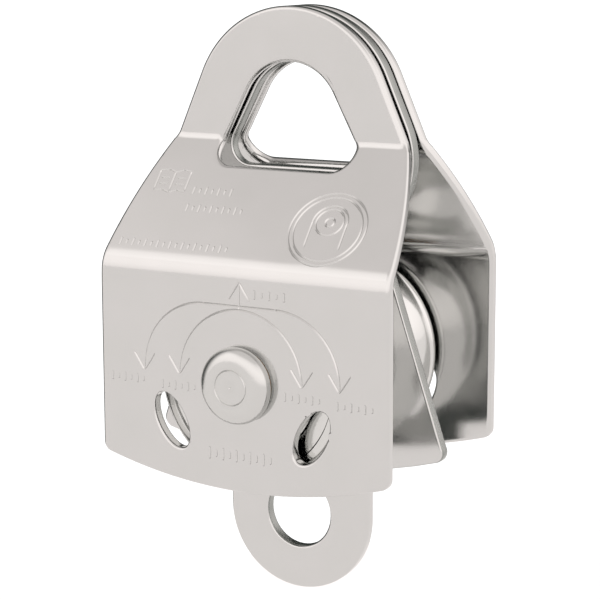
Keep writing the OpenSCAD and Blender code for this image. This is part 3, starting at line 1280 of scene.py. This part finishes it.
@dataclass
class Bearings:
    """The small turned, pressed and ground parts that keep their CAD shapes."""

    finishes: tuple[tuple[str, SteelFinish], ...] = (
        ("cheek_bush", BUSH_BRONZE), ("outer_spacer", SPACER_STEEL), ("inner_spacer", SPACER_STEEL),
        ("retaining_ring", SPRING_STEEL), ("bearing_outer_ring", BEARING_STEEL),
        ("bearing_inner_ring", BEARING_STEEL), ("bearing_balls", BALL_STEEL),
        ("bearing_cage", CAGE_STEEL), ("bearing_shields", SHIELD_STEEL),
    )

    def build(self) -> list[Piece]:
        """Dresses the nodes of both halves.

        Returns:
            The nodes.
        """
        for part, finish in self.finishes:
            finish.dress_nodes(*(side.named(part) for side in Side))
        return [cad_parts[side.named(part)] for side in Side for part, _ in self.finishes]


# ---------------------------------------------------------------- studio


@dataclass
class SoftBox:
    """A large soft lamp that shines on the block, and shows in its metal but not to the camera."""

    name: str
    azimuth: float
    elevation: float
    distance: float
    width: float
    height: float
    glow: float
    colour: str = "#FFFFFF"

    def build(self, target: Vector) -> None:
        """Hangs the lamp.

        Args:
            target: what it is turned towards.
        """
        data = bpy.data.lights.new(self.name, "AREA")
        data.shape = "RECTANGLE"
        data.size = self.width
        data.size_y = self.height
        data.energy = self.glow * math.pi * self.width * self.height
        data.color = linear(self.colour)[:3]
        lamp = bpy.data.objects.new(self.name, data)
        bpy.context.collection.objects.link(lamp)
        back = direction(self.azimuth, self.elevation)
        lamp.location = target + back * self.distance
        lamp.rotation_euler = back.to_track_quat("Z", "Y").to_euler()
        lamp.visible_camera = False


def direction(azimuth: float, elevation: float) -> Vector:
    """The unit vector towards a viewer, where azimuth 0 is the front and 90 the right, in degrees."""
    turn, rise = math.radians(azimuth), math.radians(elevation)
    return Vector((math.sin(turn) * math.cos(rise), -math.cos(turn) * math.cos(rise), math.sin(rise)))


@dataclass
class Studio:
    """A pale floor and pale surroundings, a soft lamp, and the camera."""

    azimuth: float = 29.51
    elevation: float = 10.43
    roll: float = -0.13
    distance: float = 475.77 * MM
    lens: float = 121.3
    target: tuple[float, float, float] = (-0.36 * MM, 0.0, -43.89 * MM)
    floor_drop: float = 150 * MM
    floor_size: float = 60.0
    floor_behind: float = 0.45
    paper: str = "#F6F0EE"
    paper_roughness: float = 0.9
    room_glow: float = 1.2
    metal_glow: float = 1.6
    lit_tone: str = "#FFF8F6"
    dark_tone: str = "#343936"
    dark_starts: float = 0.15
    dark_full: float = 0.75
    sky: tuple[Point, ...] = (
        (0.0, 0.83), (0.2, 0.94), (0.38, 0.97), (0.55, 0.94),
        (0.70, 0.86), (0.78, 0.73), (0.82, 0.62), (1.0, 0.6),
    )
    dark_side: tuple[float, float, float] = (-0.75, 0.66, 0.0)

    def camera(self) -> None:
        """Stands the camera."""
        data = bpy.data.cameras.new("camera")
        data.sensor_width = 36.0
        data.lens = self.lens
        data.clip_start = 0.01
        data.clip_end = 100.0
        camera = bpy.data.objects.new("camera", data)
        bpy.context.collection.objects.link(camera)
        back = direction(self.azimuth, self.elevation)
        camera.location = Vector(self.target) + back * self.distance
        upright = back.to_track_quat("Z", "Y").to_matrix().to_4x4()
        turn = upright @ Matrix.Rotation(math.radians(self.roll), 4, "Z")
        camera.rotation_euler = turn.to_euler()
        bpy.context.scene.camera = camera

    def floor(self) -> None:
        """Lays a plain matt floor well below the hanging block, which ends a little behind it."""
        deselect_all()
        height = CAD_BOX[0].z - self.floor_drop
        away = Vector(self.dark_side)
        middle = away * (self.floor_behind - self.floor_size / 2)
        middle.z = height
        bpy.ops.mesh.primitive_plane_add(
            size=self.floor_size, location=middle, rotation=(0, 0, math.atan2(away.y, away.x))
        )
        floor = settle(new_piece("floor"))
        made = bpy.data.materials.new("matt_white_paper")
        made.use_nodes = True
        made.node_tree.nodes["Principled BSDF"].inputs["Base Color"].default_value = linear(self.paper)
        made.node_tree.nodes["Principled BSDF"].inputs["Roughness"].default_value = self.paper_roughness
        floor.data.materials.append(made)

    def surroundings(self) -> None:
        """Makes the pale room: white to the camera and the floor, and shaded to the metal."""
        world = bpy.data.worlds.new("room")
        world.use_nodes = True
        bpy.context.scene.world = world
        tree = world.node_tree
        tree.nodes.clear()
        where = add_node(tree, "ShaderNodeTexCoord").outputs["Generated"]
        height = add_node(tree, "ShaderNodeSeparateXYZ", links={"Vector": where}).outputs["Z"]
        sky = add_node(tree, "ShaderNodeValToRGB", links={"Fac": height})
        for stop in self.sky[1:-1]:
            sky.color_ramp.elements.new(stop[0])
        for element, (place, shade_) in zip(sky.color_ramp.elements, self.sky):
            element.position = place
            element.color = (shade_, shade_, shade_, 1)
        lean = add_node(
            tree, "ShaderNodeVectorMath", {1: self.dark_side}, {0: where}, operation="DOT_PRODUCT"
        )
        reach = {"From Min": self.dark_starts, "From Max": self.dark_full}
        away = add_node(tree, "ShaderNodeMapRange", reach,
                        {"Value": lean.outputs["Value"]}, interpolation_type="SMOOTHSTEP")
        tone = add_node(tree, "ShaderNodeMix", {"A": linear(self.lit_tone), "B": linear(self.dark_tone)},
                        {"Factor": away.outputs["Result"]}, data_type="RGBA")
        shaded = add_node(tree, "ShaderNodeMix", {"Factor": 1.0},
                          {"A": sky.outputs["Color"], "B": tone.outputs["Result"]},
                          data_type="RGBA", blend_type="MULTIPLY")
        ray = add_node(tree, "ShaderNodeLightPath").outputs["Is Glossy Ray"]
        lit = add_node(tree, "ShaderNodeMix", {"A": self.room_glow, "B": self.metal_glow}, {"Factor": ray},
                       data_type="FLOAT")
        plain = add_node(tree, "ShaderNodeMix", {"A": linear("#FFFFFF")},
                         {"Factor": ray, "B": shaded.outputs["Result"]}, data_type="RGBA")
        back = add_node(tree, "ShaderNodeBackground",
                        links={"Color": plain.outputs["Result"], "Strength": lit.outputs["Result"]})
        add_node(tree, "ShaderNodeOutputWorld", links={"Surface": back.outputs["Background"]})

    def build(self) -> None:
        """Sets up the floor, the room, the lamp and the camera."""
        self.floor()
        self.surroundings()
        target = Vector(self.target)
        SoftBox(
            "soft_box", azimuth=-40, elevation=40, distance=1.4, width=0.5, height=0.5, glow=0.1
        ).build(target)
        self.camera()
        bpy.context.scene.view_settings.view_transform = "Standard"


def main() -> None:
    """Builds every sub-assembly in order, reports its pieces, and sets up the studio."""
    logging.basicConfig(level=logging.INFO, format="%(name)s: %(message)s")
    for assembly in (CentrePlate(), Cheeks(CheekSheet()), Sheaves(), Axle(), Bearings()):
        built = assembly.build()
        for piece in [built] if isinstance(built, bpy.types.Object) else built:
            LOG.info("%s: %s, %d faces", type(assembly).__name__, piece.name, len(piece.data.polygons))
    Studio().build()


if __name__ == "__main__":
    main()
